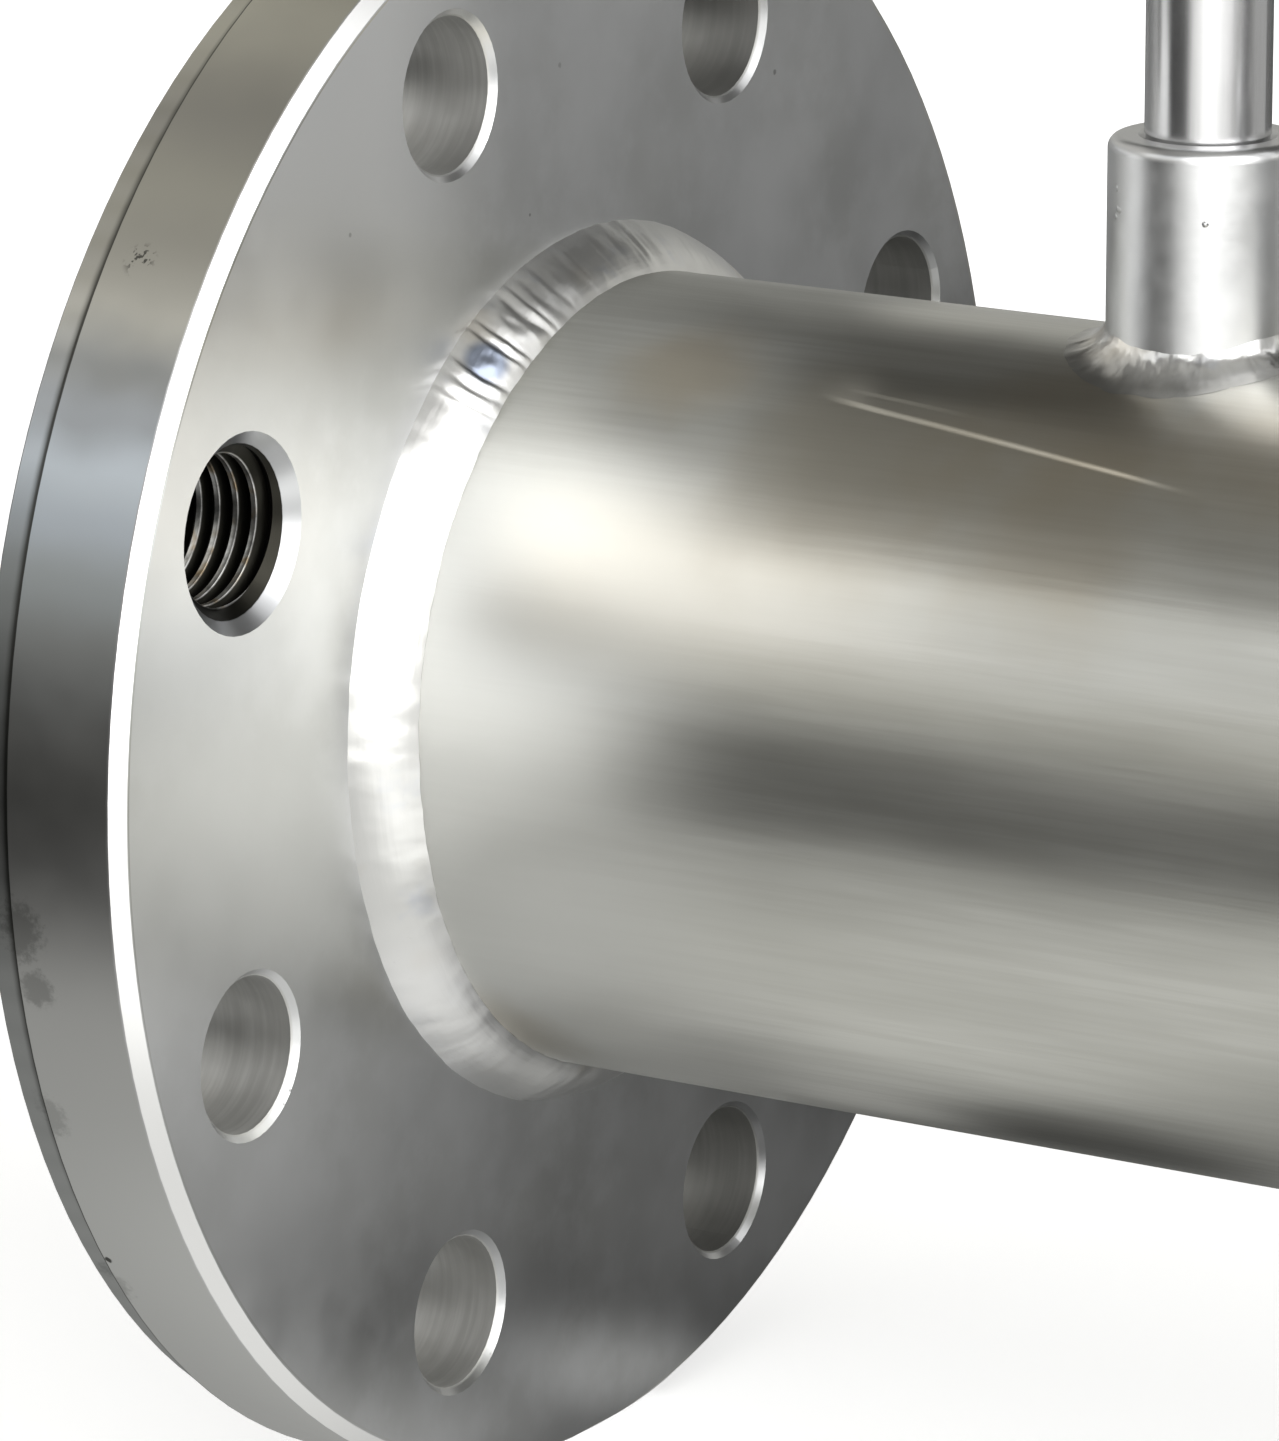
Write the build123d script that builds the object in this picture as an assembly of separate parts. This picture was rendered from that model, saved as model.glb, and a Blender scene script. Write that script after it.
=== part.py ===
from build123d import *
import os
from math import cos, hypot, radians, sin, sqrt, tan

# Cone-type differential pressure flow meter: a flanged length of pipe with a cone hung on its
# axis. Millimetres. +X is the flow, +Z points up the two pressure taps, and the origin is the
# centre of the inlet flange's gasket face.

# Overall length and pipe
meter_length = 400.0
pipe_outer_diameter = 114.3
pipe_wall = 6.02
pipe_setback = 7.0

# Flanges
flange_diameter = 235.0
flange_thickness = 26.0
flange_bore_clearance = 0.4
raised_face_height = 2.0
raised_face_gap = 3.0
rim_chamfer = 1.8
rim_relief_width = 5.7
rim_relief_depth = 2.2
rim_relief_lip = 0.2
rim_back_chamfer = 0.5

# Holes in the flanges
bolt_circle_inset = 22.5
bolt_hole_count = 8
bolt_hole_diameter = 22.0
bolt_hole_chamfer = 1.0
tapped_hole_position = 3
thread_major_diameter = 24.0
thread_countersink_diameter = 27.7

# Fillet welds between the pipe and the flanges
weld_leg_on_flange = 6.5
weld_leg_on_pipe = 7.5
bore_weld_leg = 4.5
weld_crown = 0.7

# Pressure taps
first_tap_distance = 124.0
tap_spacing = 54.0
coupling_diameter = 27.0
coupling_top_height = 86.0
coupling_rim_round = 1.8
socket_depth = 14.0
socket_clearance = 0.15
socket_mouth_chamfer = 0.9
spigot_diameter = 16.8
spigot_shoulder_gap = 0.3
tap_tube_diameter = 17.2
tap_tube_wall = 2.3
tap_tube_top_height = 190.0
tap_tube_chamfer = 0.6
wall_tap_diameter = 8.0
saddle_leg_on_coupling = 3.0
saddle_leg_on_pipe = 6.0

# Strut and stem that carry the cone and its pressure passage
strut_diameter = 16.0
strut_wall = 3.0
strut_hole_clearance = 0.15
strut_seat_height = 5.0
strut_top_gap = 4.0
stem_diameter = 20.0
stem_bore_diameter = 8.0
stem_nose_margin = 2.0
stem_tail_length = 2.5
strut_weld_leg = 2.5

# Cone
beta_ratio = 0.65
front_half_angle = 26.0
rear_half_angle = 67.5
cone_shell_wall = 4.0
cone_standoff = 30.0
cone_land_height = 2.1
seam_groove_depth = 3.0
seam_groove_front = 2.0
seam_groove_rear = 1.5
stem_fit_clearance = 0.1

# Sizes that follow from those above
pipe_radius = pipe_outer_diameter / 2
bore_radius = pipe_radius - pipe_wall
flange_radius = flange_diameter / 2
flange_bore_radius = pipe_radius + flange_bore_clearance
bolt_circle_radius = flange_radius - bolt_circle_inset
raised_face_radius = bolt_circle_radius - bolt_hole_diameter / 2 - raised_face_gap
coupling_radius = coupling_diameter / 2
tube_radius = tap_tube_diameter / 2
tube_bore_radius = tube_radius - tap_tube_wall
spigot_radius = spigot_diameter / 2
socket_radius = spigot_radius + socket_clearance
socket_floor_height = coupling_top_height - socket_depth
spigot_top_height = coupling_top_height + spigot_shoulder_gap
strut_radius = strut_diameter / 2
strut_bore_radius = strut_radius - strut_wall
strut_top_height = socket_floor_height - strut_top_gap
stem_radius = stem_diameter / 2
second_tap_distance = first_tap_distance + tap_spacing
stem_nose_x = second_tap_distance - strut_radius - stem_nose_margin - stem_radius
cone_radius = bore_radius * sqrt(1 - beta_ratio**2)
cone_land_radius = stem_radius + stem_fit_clearance + cone_land_height
cone_front_x = second_tap_distance + cone_standoff
cone_edge_x = cone_front_x + (cone_radius - cone_land_radius) / tan(radians(front_half_angle))
cone_rear_x = cone_edge_x + (cone_radius - cone_land_radius) / tan(radians(rear_half_angle))
stem_tail_x = cone_rear_x + stem_tail_length

# How far a cutter stands past what it cuts, how exactly an edge is matched, how a bar stands
overcut = 1.0
match_tolerance = 0.01
on_its_foot = (Align.CENTER, Align.CENTER, Align.MIN)


def turned(*corners):
    """A solid turned about the X axis from corners given as (x, radius)."""
    return revolve(make_face(Polyline(*corners, close=True)), Axis.X)


def rod_along_x(radius, start, end):
    """A round bar on the X axis."""
    return Pos(start, 0, 0) * Rot(0, 90, 0) * Cylinder(radius, end - start, align=on_its_foot)


def post(radius, x, bottom, top):
    """An upright round bar that stands over the pipe's axis."""
    return Pos(x, 0, bottom) * Cylinder(radius, top - bottom, align=on_its_foot)


def at_outlet(piece):
    """The same piece turned round to the outlet end."""
    return Pos(meter_length, 0, 0) * Rot(0, 0, 180) * piece


def flange_hole(diameter, chamfer_width):
    """Cutter for a through hole with both edges chamfered, on the X axis."""
    radius = diameter / 2
    mouth = radius + chamfer_width + overcut
    back = raised_face_height
    front = flange_thickness
    return turned(
        (back - overcut, 0),
        (back - overcut, mouth),
        (back + chamfer_width, radius),
        (front - chamfer_width, radius),
        (front + overcut, mouth),
        (front + overcut, 0),
    )


def hole_angle(position):
    """Holes straddle both centre lines of the flange."""
    return 360 / bolt_hole_count * (position + 0.5)


def flange(tapped_position=None):
    """Slip-on plate flange with a raised face, turned and drilled."""
    relief_end = raised_face_height + rim_relief_width
    relief_radius = flange_radius - rim_relief_depth
    cove = rim_relief_depth - rim_relief_lip
    bend = cove * (1 - cos(radians(45)))
    back_edge = Polyline(
        (relief_end - cove, relief_radius),
        (raised_face_height + rim_back_chamfer, relief_radius),
        (raised_face_height, relief_radius - rim_back_chamfer),
        (raised_face_height, raised_face_radius),
        (0, raised_face_radius),
        (0, flange_bore_radius),
        (flange_thickness, flange_bore_radius),
        (flange_thickness, flange_radius - rim_chamfer),
        (flange_thickness - rim_chamfer, flange_radius),
        (relief_end, flange_radius),
        (relief_end, relief_radius + cove),
    )
    cove_arc = ThreePointArc(
        (relief_end, relief_radius + cove),
        (relief_end - bend, relief_radius + bend),
        (relief_end - cove, relief_radius),
    )
    blank = revolve(make_face([*back_edge.edges(), cove_arc]), Axis.X)
    plain = flange_hole(bolt_hole_diameter, bolt_hole_chamfer)
    countersink = (thread_countersink_diameter - thread_major_diameter) / 2
    tapped = flange_hole(thread_major_diameter, countersink)
    for position in range(bolt_hole_count):
        cutter = tapped if position == tapped_position else plain
        place = Rot(hole_angle(position), 0, 0) * Pos(0, bolt_circle_radius, 0)
        blank -= place * cutter
    return blank


def crowned_ring(corner, on_first, on_second, crown):
    """A weld ring about X: a corner, its two toes and a face that bulges by the crown."""
    middle = ((on_first[0] + on_second[0]) / 2, (on_first[1] + on_second[1]) / 2)
    away = (middle[0] - corner[0], middle[1] - corner[1])
    reach = hypot(*away)
    top = (middle[0] + away[0] / reach * crown, middle[1] + away[1] / reach * crown)
    legs = Polyline(on_second, corner, on_first)
    face = ThreePointArc(on_first, top, on_second)
    return revolve(make_face([*legs.edges(), face]), Axis.X)


def flange_fillet_weld():
    """Fillet bead between the pipe and the flange's inner side."""
    corner = (flange_thickness, pipe_radius)
    on_flange = (flange_thickness, pipe_radius + weld_leg_on_flange)
    on_pipe = (flange_thickness + weld_leg_on_pipe, pipe_radius)
    return crowned_ring(corner, on_flange, on_pipe, weld_crown)


def flange_bore_weld():
    """Bead inside the flange's bore, over the end of the pipe."""
    corner = (pipe_setback, flange_bore_radius)
    on_bore = (pipe_setback - bore_weld_leg, flange_bore_radius)
    on_pipe_end = (pipe_setback, flange_bore_radius - bore_weld_leg)
    return crowned_ring(corner, on_bore, on_pipe_end, weld_crown / 2)


def body_tube():
    """The meter's pipe, with the hole of each pressure tap."""
    start = pipe_setback
    end = meter_length - pipe_setback
    tube = rod_along_x(pipe_radius, start, end)
    tube -= rod_along_x(bore_radius, start - overcut, end + overcut)
    tube -= post(wall_tap_diameter / 2, first_tap_distance, 0, pipe_radius + overcut)
    strut_hole = strut_radius + strut_hole_clearance
    tube -= post(strut_hole, second_tap_distance, 0, pipe_radius + overcut)
    return tube


def coupling(x):
    """Tap boss with a socket for its tube, and a foot that fits the pipe."""
    foot = sqrt(pipe_radius**2 - coupling_radius**2) - overcut
    boss = post(coupling_radius, x, foot, coupling_top_height)
    boss = fillet(boss.edges().filter_by(GeomType.CIRCLE).sort_by(Axis.Z)[-1], coupling_rim_round)
    boss -= post(socket_radius, x, socket_floor_height, coupling_top_height + overcut)
    mouth_bottom = coupling_top_height - socket_mouth_chamfer
    mouth_top_radius = socket_radius + socket_mouth_chamfer + overcut
    mouth = Cone(socket_radius, mouth_top_radius, socket_mouth_chamfer + overcut, align=on_its_foot)
    boss -= Pos(x, 0, mouth_bottom) * mouth
    return boss - rod_along_x(pipe_radius, x - coupling_diameter, x + coupling_diameter)


def high_pressure_coupling():
    """Boss over the wall tap, bored through at the tap's own size."""
    x = first_tap_distance
    return coupling(x) - post(wall_tap_diameter / 2, x, 0, socket_floor_height + overcut)


def low_pressure_coupling():
    """Boss bored from below for the strut, with the strut's own bore above it."""
    x = second_tap_distance
    seat = post(strut_radius + strut_hole_clearance, x, 0, strut_top_height)
    passage = post(strut_bore_radius, x, 0, socket_floor_height + overcut)
    return coupling(x) - seat - passage


def tap_tube(x):
    """Tube with a spigot that stands in its boss, and a free end square and chamfered."""
    tube = post(tube_radius, x, spigot_top_height, tap_tube_top_height)
    tube += post(spigot_radius, x, socket_floor_height, spigot_top_height)
    tube = chamfer(tube.edges().filter_by(GeomType.CIRCLE).sort_by(Axis.Z)[-1], tap_tube_chamfer)
    bottom = socket_floor_height - overcut
    return tube - post(tube_bore_radius, x, bottom, tap_tube_top_height + overcut)


def saddle_bead(run, upright, x, radius, leg_on_upright, leg_on_run, low, high):
    """Bead round the foot of an upright where it meets a run, as the bevel of their corner."""
    joined = run + upright

    def in_corner(edge):
        points = [edge @ share for share in (0.25, 0.5, 0.75)]
        near = all(abs(hypot(p.X - x, p.Y) - radius) < match_tolerance for p in points)
        return near and all(low < p.Z < high for p in points)

    corner = joined.edges().filter_by(in_corner)
    wall = joined.faces().filter_by(lambda face: is_round(face, radius))[0]
    beveled = chamfer(corner, leg_on_upright, leg_on_run, reference=wall)
    return beveled - run - upright


def is_round(face, radius):
    """True for a cylinder face of that radius."""
    return face.geom_type == GeomType.CYLINDER and abs(face.radius - radius) < match_tolerance


def saddle_weld(x):
    """Bead round the foot of a boss on the pipe."""
    half = 2 * coupling_diameter
    run = rod_along_x(pipe_radius, x - half, x + half)
    boss = post(coupling_radius, x, 0, coupling_top_height)
    low = pipe_radius / 2
    return saddle_bead(
        run, boss, x, coupling_radius,
        saddle_leg_on_coupling, saddle_leg_on_pipe, low, pipe_radius + overcut,
    )


def support_strut():
    """Tube from the low pressure boss down to the stem."""
    x = second_tap_distance
    tube = post(strut_radius, x, strut_seat_height, strut_top_height)
    top = strut_top_height + overcut
    return tube - post(strut_bore_radius, x, strut_seat_height - overcut, top)


def cone_stem():
    """Bar with a round nose, bored from its tail up to the strut's seat."""
    x = second_tap_distance
    centre = stem_nose_x + stem_radius
    bar = rod_along_x(stem_radius, centre, stem_tail_x) + Pos(centre, 0, 0) * Sphere(stem_radius)
    bore = stem_bore_diameter / 2
    bar -= rod_along_x(bore, x - bore, stem_tail_x + overcut)
    bar -= post(bore, x, 0, stem_radius)
    return bar - post(strut_radius + strut_hole_clearance, x, strut_seat_height, stem_diameter)


def strut_stem_weld():
    """Bead where the strut enters the stem."""
    x = second_tap_distance
    run = rod_along_x(stem_radius, x - stem_diameter, x + stem_diameter)
    upright = post(strut_radius, x, 0, bore_radius)
    return saddle_bead(
        run, upright, x, strut_radius,
        strut_weld_leg, strut_weld_leg, 0, stem_radius + overcut,
    )


def strut_wall_weld():
    """Bead round the strut on the inside of the pipe."""
    x = second_tap_distance
    reach = stem_diameter
    wall = rod_along_x(pipe_radius, x - reach, x + reach)
    wall -= rod_along_x(bore_radius, x - reach - overcut, x + reach + overcut)
    upright = post(strut_radius, x, 0, bore_radius + pipe_wall / 2)
    return saddle_bead(
        wall, upright, x, strut_radius,
        strut_weld_leg, strut_weld_leg, 0, bore_radius + overcut,
    )


def along_cone(half_angle, length):
    """Step along a cone's surface, as distances along and across the axis."""
    return length * cos(radians(half_angle)), length * sin(radians(half_angle))


def cone_edge():
    """The measuring edge, where both cones meet at their widest."""
    return cone_edge_x, cone_radius


def cone_inner_edge():
    """Where the inner faces of both shells meet, one wall inside the measuring edge."""
    front_drop = cone_shell_wall / cos(radians(front_half_angle))
    rear_drop = cone_shell_wall / cos(radians(rear_half_angle))
    slopes = tan(radians(front_half_angle)) + tan(radians(rear_half_angle))
    back = (rear_drop - front_drop) / slopes
    return cone_edge_x - back, cone_radius - front_drop - back * tan(radians(front_half_angle))


def seam_front_toe():
    """Front toe of the seam's groove, on the front cone."""
    along, across = along_cone(front_half_angle, seam_groove_front)
    return cone_edge_x - along, cone_radius - across


def seam_rear_toe():
    """Rear toe of the seam's groove, on the rear cone."""
    along, across = along_cone(rear_half_angle, seam_groove_rear)
    return cone_edge_x + along, cone_radius - across


def seam_root():
    """Root of the seam's groove, on the mitre between both shells."""
    edge = cone_edge()
    inner = cone_inner_edge()
    share = seam_groove_depth / hypot(edge[0] - inner[0], edge[1] - inner[1])
    return edge[0] + (inner[0] - edge[0]) * share, edge[1] + (inner[1] - edge[1]) * share


def cone_front_shell():
    """Long front cone, hollow, with a land that fits the stem."""
    hole = stem_radius + stem_fit_clearance
    inner = cone_inner_edge()
    inner_front = inner[0] - (inner[1] - hole) / tan(radians(front_half_angle))
    return turned(
        (cone_front_x, hole),
        (cone_front_x, cone_land_radius),
        seam_front_toe(),
        seam_root(),
        inner,
        (inner_front, hole),
    )


def cone_rear_shell():
    """Short steep rear cone, hollow, with a land that fits the stem."""
    hole = stem_radius + stem_fit_clearance
    inner = cone_inner_edge()
    inner_rear = inner[0] + (inner[1] - hole) / tan(radians(rear_half_angle))
    return turned(
        (cone_rear_x, hole),
        (cone_rear_x, cone_land_radius),
        seam_rear_toe(),
        seam_root(),
        inner,
        (inner_rear, hole),
    )


def cone_seam_weld():
    """Weld in the groove at the measuring edge, turned flush with both cones."""
    return turned(seam_front_toe(), cone_edge(), seam_rear_toe(), seam_root())


def cone_nose_weld():
    """Bead between the stem and the front cone's land."""
    corner = (cone_front_x, stem_radius)
    on_land = (cone_front_x, cone_land_radius)
    on_stem = (cone_front_x - cone_land_height, stem_radius)
    return turned(corner, on_land, on_stem)


def cone_tail_weld():
    """Bead between the stem's tail and the rear cone's land."""
    corner = (cone_rear_x, stem_radius)
    on_land = (cone_rear_x, cone_land_radius)
    on_stem = (cone_rear_x + cone_land_height, stem_radius)
    return turned(corner, on_land, on_stem)


pieces = {
    "body_tube": body_tube(),
    "inlet_flange": flange(tapped_hole_position),
    "outlet_flange": at_outlet(flange()),
    "inlet_fillet_weld": flange_fillet_weld(),
    "inlet_bore_weld": flange_bore_weld(),
    "outlet_fillet_weld": at_outlet(flange_fillet_weld()),
    "outlet_bore_weld": at_outlet(flange_bore_weld()),
    "high_pressure_coupling": high_pressure_coupling(),
    "high_pressure_saddle_weld": saddle_weld(first_tap_distance),
    "high_pressure_tube": tap_tube(first_tap_distance),
    "low_pressure_coupling": low_pressure_coupling(),
    "low_pressure_saddle_weld": saddle_weld(second_tap_distance),
    "low_pressure_tube": tap_tube(second_tap_distance),
    "support_strut": support_strut(),
    "strut_wall_weld": strut_wall_weld(),
    "strut_stem_weld": strut_stem_weld(),
    "cone_stem": cone_stem(),
    "cone_front_shell": cone_front_shell(),
    "cone_rear_shell": cone_rear_shell(),
    "cone_seam_weld": cone_seam_weld(),
    "cone_nose_weld": cone_nose_weld(),
    "cone_tail_weld": cone_tail_weld(),
}

os.makedirs("parts", exist_ok=True)
for name, piece in pieces.items():
    export_step(piece, f"parts/{name}.step")
    print(name, len(piece.solids()), round(piece.volume))
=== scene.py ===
import bmesh
import bpy
from math import cos, pi, radians, sin, sqrt
from mathutils import Matrix, Vector, noise


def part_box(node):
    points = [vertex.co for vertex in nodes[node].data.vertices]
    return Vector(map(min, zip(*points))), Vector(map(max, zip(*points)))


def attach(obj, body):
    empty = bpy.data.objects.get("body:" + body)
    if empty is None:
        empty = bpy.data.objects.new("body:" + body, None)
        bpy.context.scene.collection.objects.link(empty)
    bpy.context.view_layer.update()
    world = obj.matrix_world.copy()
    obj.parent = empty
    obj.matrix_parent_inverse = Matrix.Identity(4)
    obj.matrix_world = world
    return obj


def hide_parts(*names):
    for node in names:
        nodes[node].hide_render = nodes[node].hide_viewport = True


# A cone meter: two flanges on a length of pipe, with two pressure taps. Metres, in the frame of
# the solids: +X is the flow, +Z points up the taps, and the gasket face is at x = 0.
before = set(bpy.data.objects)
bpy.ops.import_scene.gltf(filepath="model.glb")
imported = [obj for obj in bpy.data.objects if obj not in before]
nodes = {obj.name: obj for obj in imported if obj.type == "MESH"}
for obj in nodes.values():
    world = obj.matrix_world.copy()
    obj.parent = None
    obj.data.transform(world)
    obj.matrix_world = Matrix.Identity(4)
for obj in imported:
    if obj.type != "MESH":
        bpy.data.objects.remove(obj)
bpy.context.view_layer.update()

# Places that the solids give
flange_face_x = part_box("inlet_flange")[1].x
flange_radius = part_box("inlet_flange")[1].y
pipe_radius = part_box("body_tube")[1].y
meter_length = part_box("outlet_flange")[1].x
fillet_toe_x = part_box("inlet_fillet_weld")[1].x
fillet_toe_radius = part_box("inlet_fillet_weld")[1].y
bore_weld_low, bore_weld_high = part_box("inlet_bore_weld")
boss_low, boss_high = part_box("high_pressure_coupling")
boss_radius = boss_high.y
first_tap_x = (boss_low.x + boss_high.x) / 2
second_boss_low, second_boss_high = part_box("low_pressure_coupling")
second_tap_x = (second_boss_low.x + second_boss_high.x) / 2
strut_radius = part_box("support_strut")[1].y
stem_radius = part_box("cone_stem")[1].y
nose_weld_low, nose_weld_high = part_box("cone_nose_weld")
tail_weld_low, tail_weld_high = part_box("cone_tail_weld")
floor_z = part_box("inlet_flange")[0].z

# Sizes that the solids' boxes don't show
bore_radius = 0.05113
bore_weld_leg = 0.0045
bolt_circle_radius = 0.095
bolt_hole_radius = 0.011
bolt_hole_count = 8
tapped_hole_angle = radians(157.5)
tapped_hole_y = bolt_circle_radius * cos(tapped_hole_angle)
tapped_hole_z = bolt_circle_radius * sin(tapped_hole_angle)
thread_major_radius = 0.012
thread_minor_radius = 0.0104
thread_pitch = 0.003
thread_start_x = 0.00385
thread_end_x = 0.02415
saddle_leg_up = 0.003
saddle_leg_out = 0.006
strut_weld_leg = 0.0025
rim_chamfer = 0.0018
rim_relief_depth = 0.0022
rim_relief_end_x = 0.0077


# Node graphs


def put(graph, socket, value):
    """Links a socket's value, or sets a plain one."""
    if isinstance(value, bpy.types.NodeSocket):
        graph.links.new(value, socket)
    else:
        socket.default_value = value


def calc(graph, operation, first, second=0.0, third=0.0):
    """One sum of plain numbers or sockets."""
    node = graph.nodes.new("ShaderNodeMath")
    node.operation = operation
    for socket, value in zip(node.inputs, (first, second, third)):
        put(graph, socket, value)
    return node.outputs[0]


def product(graph, first, *others):
    """All the values multiplied together."""
    for value in others:
        first = calc(graph, "MULTIPLY", first, value)
    return first


def length_of(graph, first, second):
    """Length of a flat vector from its two parts."""
    squares = calc(graph, "ADD", product(graph, first, first), product(graph, second, second))
    return calc(graph, "SQRT", squares)


def join(graph, x, y, z):
    """A vector from three values."""
    node = graph.nodes.new("ShaderNodeCombineXYZ")
    for socket, value in zip(node.inputs, (x, y, z)):
        put(graph, socket, value)
    return node.outputs[0]


def cloud(graph, vector, scale, detail=2.0, roughness=0.5):
    """Soft noise from 0 to 1."""
    node = graph.nodes.new("ShaderNodeTexNoise")
    node.inputs["Scale"].default_value = scale
    node.inputs["Detail"].default_value = detail
    node.inputs["Roughness"].default_value = roughness
    graph.links.new(vector, node.inputs["Vector"])
    return node.outputs["Fac"]


def ease(graph, value, start, end, low=0.0, high=1.0):
    """Smooth step of a value from low, at start, to high, at end."""
    node = graph.nodes.new("ShaderNodeMapRange")
    node.interpolation_type = "SMOOTHSTEP"
    for name, number in (("From Min", start), ("From Max", end), ("To Min", low), ("To Max", high)):
        node.inputs[name].default_value = number
    graph.links.new(value, node.inputs["Value"])
    return node.outputs["Result"]


def blend_color(graph, factor, first, second, kind="MIX"):
    """Mix of two colours, given as sockets or (r, g, b)."""
    node = graph.nodes.new("ShaderNodeMix")
    node.data_type = "RGBA"
    node.blend_type = kind
    put(graph, node.inputs[0], factor)
    for socket, value in ((node.inputs[6], first), (node.inputs[7], second)):
        put(graph, socket, value if isinstance(value, bpy.types.NodeSocket) else (*value, 1.0))
    return node.outputs[2]


def patch(graph, tone, color, *edges):
    """Lays a colour over the tone inside soft edges: (value, start, end, low, high) for ease."""
    share = product(graph, *[ease(graph, *edge) for edge in edges])
    return blend_color(graph, share, tone, color)


def color_ramp(graph, value, stops):
    """Colour along a soft ramp, from (position, colour) pairs."""
    node = graph.nodes.new("ShaderNodeValToRGB")
    node.color_ramp.interpolation = "EASE"
    elements = node.color_ramp.elements
    while len(elements) < len(stops):
        elements.new(0.5)
    for element, (position, color) in zip(elements, stops):
        element.position = position
        element.color = (*color, 1.0)
    graph.links.new(value, node.inputs["Fac"])
    return node.outputs["Color"]


def grey(level):
    """Colour of one brightness."""
    return (level, level, level)


def grey_ramp(graph, value, stops):
    """Brightness along a soft ramp, from (position, brightness) pairs."""
    return color_ramp(graph, value, [(position, grey(level)) for position, level in stops])


def bumps(graph, height, distance, strength=1.0, under=None):
    """Bump of a height from 0 to 1, over the one under it."""
    node = graph.nodes.new("ShaderNodeBump")
    node.inputs["Distance"].default_value = distance
    node.inputs["Strength"].default_value = strength
    graph.links.new(height, node.inputs["Height"])
    if under is not None:
        graph.links.new(under, node.inputs["Normal"])
    return node.outputs["Normal"]


class Place:
    """Sockets for where a point is: along the pipe, across it, and round its axis."""

    def __init__(self, graph):
        split = graph.nodes.new("ShaderNodeSeparateXYZ")
        coordinates = graph.nodes.new("ShaderNodeTexCoord")
        self.point = coordinates.outputs["Object"]
        graph.links.new(self.point, split.inputs[0])
        self.x, self.y, self.z = split.outputs
        self.radius = length_of(graph, self.y, self.z)
        self.angle = calc(graph, "ARCTAN2", self.z, self.y)


def distance_to(graph, place, spot):
    """Distance from the point to a fixed spot."""
    node = graph.nodes.new("ShaderNodeVectorMath")
    node.operation = "DISTANCE"
    graph.links.new(place.point, node.inputs[0])
    node.inputs[1].default_value = spot
    return node.outputs["Value"]


def stretched(graph, place, scales):
    """The point with its x, y and z scaled, which draws noise out where a scale is small."""
    axes = (place.x, place.y, place.z)
    return join(graph, *[calc(graph, "MULTIPLY", axis, scale) for axis, scale in zip(axes, scales)])


def turned(graph, place):
    """The point in turned coordinates, which draws noise out round the pipe's axis."""
    angle_scale = 0.004
    return join(graph, place.x, place.radius, calc(graph, "MULTIPLY", place.angle, angle_scale))


def new_steel(name, base, roughness):
    """Metal material, with the graph and the shader to add its detail to."""
    material = bpy.data.materials.new(name)
    material.use_nodes = True
    shader = material.node_tree.nodes["Principled BSDF"]
    shader.inputs["Metallic"].default_value = 1.0
    shader.inputs["Base Color"].default_value = (*base, 1.0)
    shader.inputs["Roughness"].default_value = roughness
    return material, material.node_tree, shader


def on_cylinder(x, degrees, radius):
    """Point on a cylinder about the pipe's axis, with 90 degrees at the top and 180 at the front."""
    return Vector((x, radius * cos(radians(degrees)), radius * sin(radians(degrees))))


# Materials


def bolt_hole_mask(graph, place):
    """1 inside the holes of the bolt circle and 0 elsewhere."""
    step = 2 * pi / bolt_hole_count
    folded = calc(graph, "SUBTRACT", calc(graph, "FLOORED_MODULO", place.angle, step), step / 2)
    along = calc(graph, "MULTIPLY", place.radius, calc(graph, "COSINE", folded))
    aside = calc(graph, "MULTIPLY", place.radius, calc(graph, "SINE", folded))
    reach = length_of(graph, calc(graph, "SUBTRACT", along, bolt_circle_radius), aside)
    return ease(graph, reach, bolt_hole_radius + 0.0001, bolt_hole_radius + 0.0003, 1.0, 0.0)


def off_tapped_hole(graph, place):
    """Distance from the tapped hole's axis."""
    aside = calc(graph, "SUBTRACT", place.y, tapped_hole_y)
    upward = calc(graph, "SUBTRACT", place.z, tapped_hole_z)
    return length_of(graph, aside, upward)


def tapped_hole_mask(graph, place):
    """1 in the tapped hole, short of the countersink on the pipe's side."""
    reach = off_tapped_hole(graph, place)
    near = ease(graph, reach, thread_major_radius + 0.0001, thread_major_radius + 0.0003, 1.0, 0.0)
    inside = ease(graph, place.x, thread_end_x - 0.0001, thread_end_x + 0.0001, 1.0, 0.0)
    return product(graph, near, inside)


def add_marks(graph, place, color, marks):
    """Dark stains and nicks: (spot, size, darkness), with ragged edges."""
    ragged = cloud(graph, place.point, 900.0, 3.0, 0.7)
    for spot, size, darkness in marks:
        reach = calc(graph, "ADD", distance_to(graph, place, spot), calc(graph, "MULTIPLY", ragged, size))
        mask = ease(graph, reach, size * 0.9, size * 1.35, darkness, 0.0)
        color = blend_color(graph, mask, color, (0.03, 0.03, 0.025))
    return color


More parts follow.
